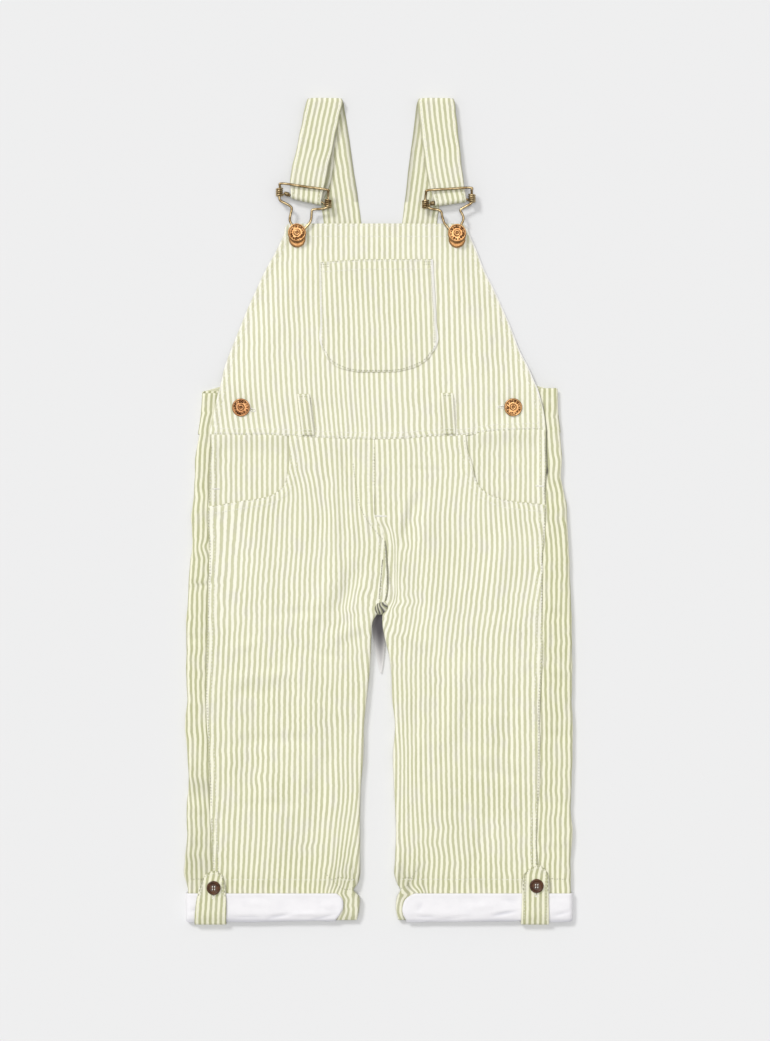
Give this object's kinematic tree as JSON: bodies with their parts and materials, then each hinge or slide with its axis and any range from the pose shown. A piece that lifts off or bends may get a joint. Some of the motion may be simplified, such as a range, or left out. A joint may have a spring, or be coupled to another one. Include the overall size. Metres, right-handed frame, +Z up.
{
  "type": "kids bib overalls",
  "caption": "Child's striped bib overalls with a chest pocket, shoulder straps in wire buckles and turned-up hems with roll-up tabs, laid flat with the front up.",
  "frame": {"origin": "middle of the laid-out garment, on the surface that it lies on", "axes": "+X across the garment to the right of someone who looks at its front, +Y from the hems to the shoulder straps, +Z up from the surface, out of the front"},
  "size_m": [0.3305, 0.7033, 0.0125],
  "materials": {
    "stripe_cotton": "woven cotton with narrow green and cream stripes along the cloth",
    "lining": "plain white cotton, the reverse that the turn-up shows",
    "brass_wire": "antique, satin",
    "copper": "copper-gold plating, satin",
    "brown_button": "polished"
  },
  "bodies": {
    "root": {"back_bib": "stripe_cotton", "back_leg_left": "stripe_cotton", "back_leg_right": "stripe_cotton", "belt_loop_left": "stripe_cotton", "belt_loop_right": "stripe_cotton", "bib_button_left": "copper", "bib_button_right": "copper", "bib_pocket": "stripe_cotton", "buckle_frame_left": "brass_wire", "buckle_frame_right": "brass_wire", "cuff_left": "lining", "cuff_right": "lining", "front_bib": "stripe_cotton", "front_leg_left": "stripe_cotton", "front_leg_right": "stripe_cotton", "pocket_facing_left": "stripe_cotton", "pocket_facing_right": "stripe_cotton", "side_button_left": "copper", "side_button_right": "copper", "slide_bar_left": "brass_wire", "slide_bar_right": "brass_wire", "strap_left": "stripe_cotton", "strap_right": "stripe_cotton", "tab_button_left": "brown_button", "tab_button_right": "brown_button", "tab_left": "stripe_cotton", "tab_right": "stripe_cotton"}
  },
  "joints": []
}
